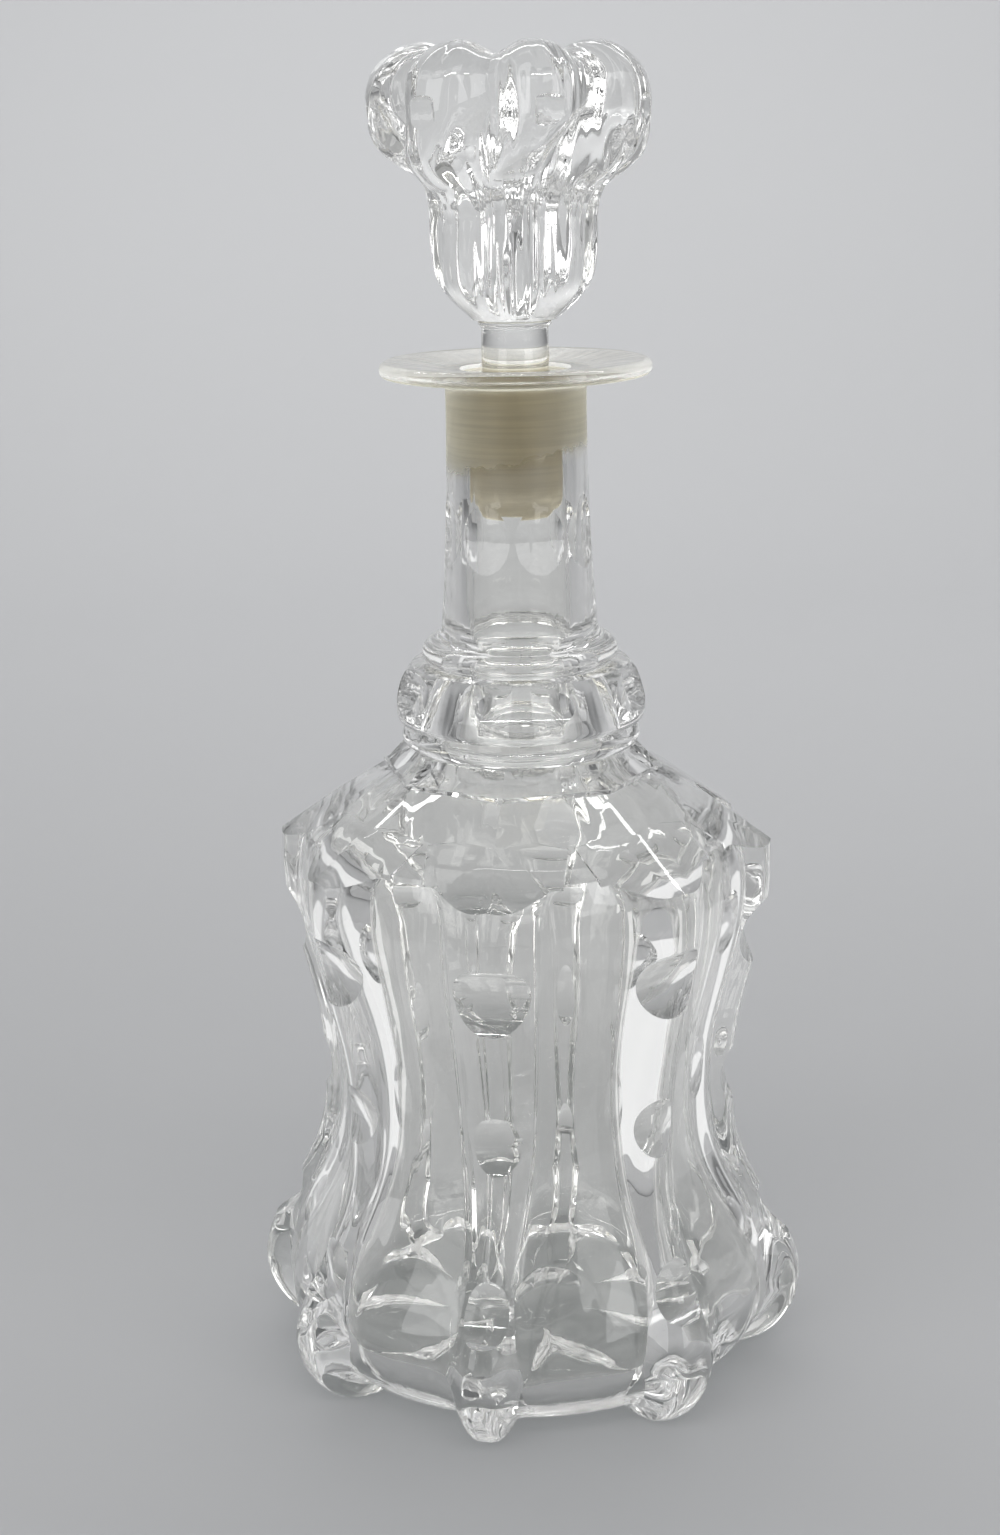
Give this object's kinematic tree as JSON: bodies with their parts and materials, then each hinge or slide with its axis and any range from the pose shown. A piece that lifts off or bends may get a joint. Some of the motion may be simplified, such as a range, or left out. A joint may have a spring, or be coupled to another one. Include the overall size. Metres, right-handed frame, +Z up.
{
  "type": "stoppered decanter",
  "caption": "Mallet-shaped cut glass decanter with ribbed pillars that end in feet, a ringed collar, a flared lip and a lobed ground-in stopper.",
  "frame": {"origin": "on the axis, at the plane that the feet stand on", "axes": "+Z up along the axis from the feet to the stopper, -Y towards one pillar"},
  "size_m": [0.1286, 0.1286, 0.2977],
  "materials": {
    "clear_glass": "polished clear lead glass, faintly grey",
    "stopper_glass": "polished clear lead glass with a ground, frosted peg"
  },
  "bodies": {
    "vessel": {"decanter_body": "clear_glass"},
    "loose_stopper": {"stopper": "stopper_glass"}
  },
  "joints": [
    {"name": "stopper_lift", "type": "slide", "parent": "vessel", "child": "loose_stopper", "axis": [0, 0, 1], "range_m": [0, 0.06]}
  ]
}
